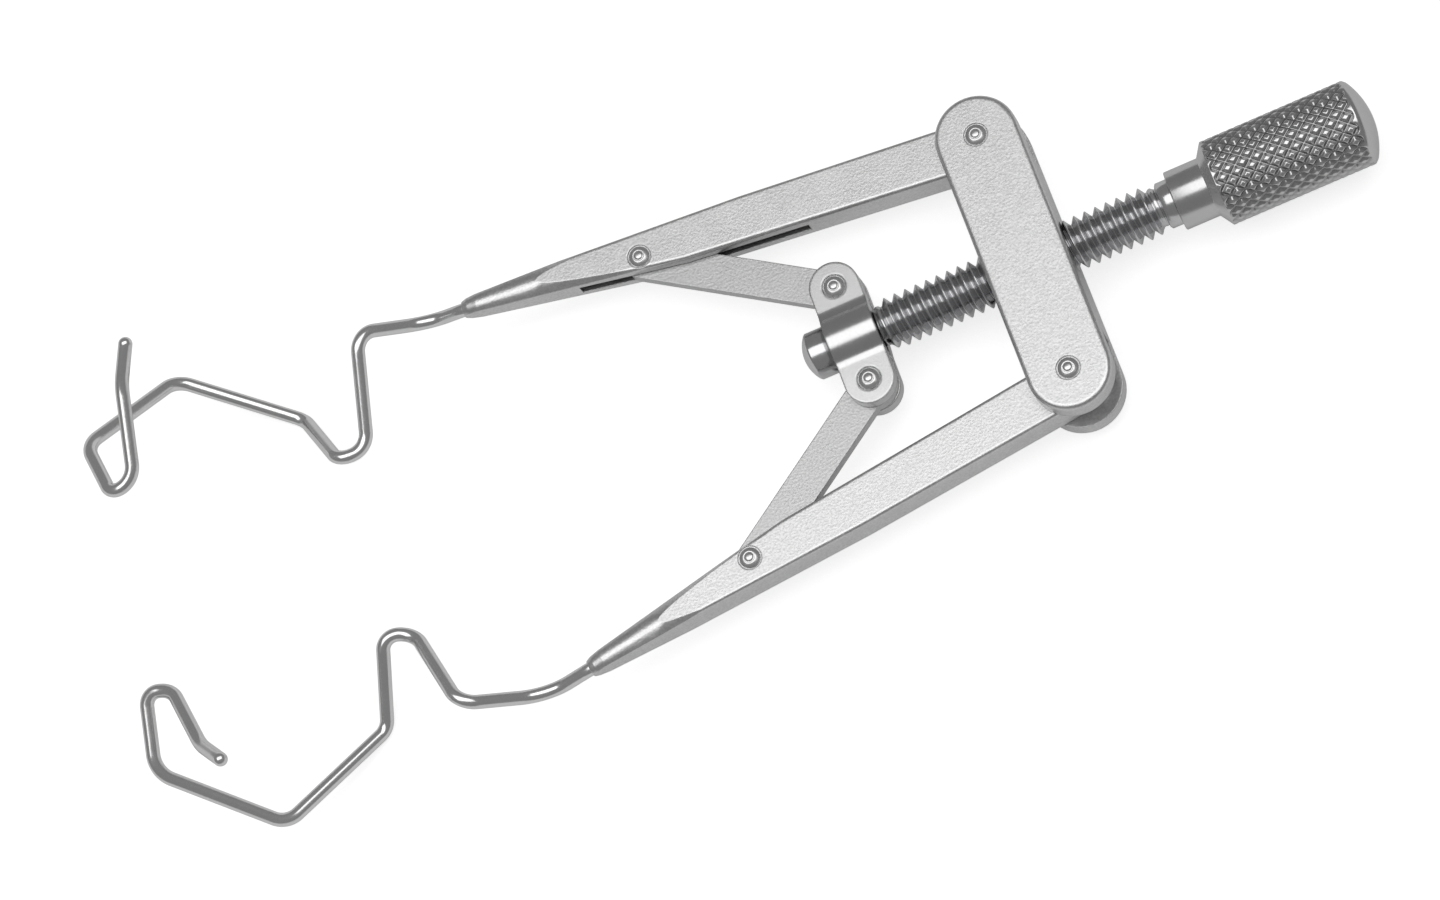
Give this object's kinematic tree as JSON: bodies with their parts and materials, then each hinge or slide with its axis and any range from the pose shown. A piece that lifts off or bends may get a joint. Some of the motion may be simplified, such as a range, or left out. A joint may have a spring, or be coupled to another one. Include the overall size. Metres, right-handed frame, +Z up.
{
  "type": "wire lid speculum",
  "caption": "Eyelid speculum with hooked wire blades on pivoting arms, spread by riveted links and a knurled thumb screw.",
  "frame": {"origin": "centre of the bounding box's bottom face, on the surface it lies on", "axes": "+X along the drive screw from the knob to the blades, +Y towards the lower arm, +Z up through the front plates"},
  "size_m": [0.0755, 0.028, 0.0129],
  "materials": {
    "satin_plate": "bead-blasted satin stainless steel with brighter edges",
    "polished_plate": "polished stainless steel",
    "screw_steel": "polished stainless steel with dark thread roots",
    "knurled_steel": "turned and knurled stainless steel",
    "polished_wire": "polished stainless wire",
    "rivet_steel": "polished domed rivet"
  },
  "bodies": {
    "yoke": {"yoke": "satin_plate", "lower_yoke_rivet": "rivet_steel", "upper_yoke_rivet": "rivet_steel"},
    "carriage": {"front_saddle": "polished_plate", "back_saddle": "polished_plate", "lower_carriage_rivet": "rivet_steel", "upper_carriage_rivet": "rivet_steel"},
    "screw": {"drive_screw": "screw_steel", "thumb_knob": "knurled_steel"},
    "lower_arm": {"lower_arm": "satin_plate", "lower_blade_wire": "polished_wire", "lower_arm_rivet": "rivet_steel"},
    "upper_arm": {"upper_arm": "satin_plate", "upper_blade_wire": "polished_wire", "upper_arm_rivet": "rivet_steel"},
    "lower_link": {"lower_link": "satin_plate"},
    "upper_link": {"upper_link": "satin_plate"}
  },
  "joints": [
    {"name": "carriage_slide", "type": "slide", "parent": "yoke", "child": "carriage", "axis": [1, 0, 0], "range_m": [-0.00113, 0.0054]},
    {"name": "knob_turn", "type": "hinge", "parent": "carriage", "child": "screw", "pos_m": [-0.01744, 0.00075, 0.00338], "axis": [1, 0, 0], "range_deg": [-657.6, 3078.4]},
    {"name": "lower_arm_pivot", "type": "hinge", "parent": "yoke", "child": "lower_arm", "pos_m": [-0.01744, 0.00814, 0.00338], "axis": [0, 0, 1], "range_deg": [-3.21, 15.14]},
    {"name": "lower_link_pivot", "type": "hinge", "parent": "lower_arm", "child": "lower_link", "pos_m": [0.00273, 0.01056, 0.00338], "axis": [0, 0, 1], "range_deg": [-5.27, 24.99]},
    {"name": "upper_arm_pivot", "type": "hinge", "parent": "yoke", "child": "upper_arm", "pos_m": [-0.01744, -0.00666, 0.00338], "axis": [0, 0, 1], "range_deg": [-15.14, 3.21]},
    {"name": "upper_link_pivot", "type": "hinge", "parent": "upper_arm", "child": "upper_link", "pos_m": [0.00277, -0.00863, 0.00338], "axis": [0, 0, 1], "range_deg": [-24.99, 5.27]}
  ],
  "couplings": [
    {"joint": "knob_turn", "follows": "carriage_slide", "rad_per_m": 9894.8},
    {"joint": "lower_arm_pivot", "follows": "carriage_slide", "rad_per_m": 48.78},
    {"joint": "lower_link_pivot", "follows": "carriage_slide", "rad_per_m": 80.62},
    {"joint": "upper_arm_pivot", "follows": "carriage_slide", "rad_per_m": -48.78},
    {"joint": "upper_link_pivot", "follows": "carriage_slide", "rad_per_m": -80.62}
  ]
}
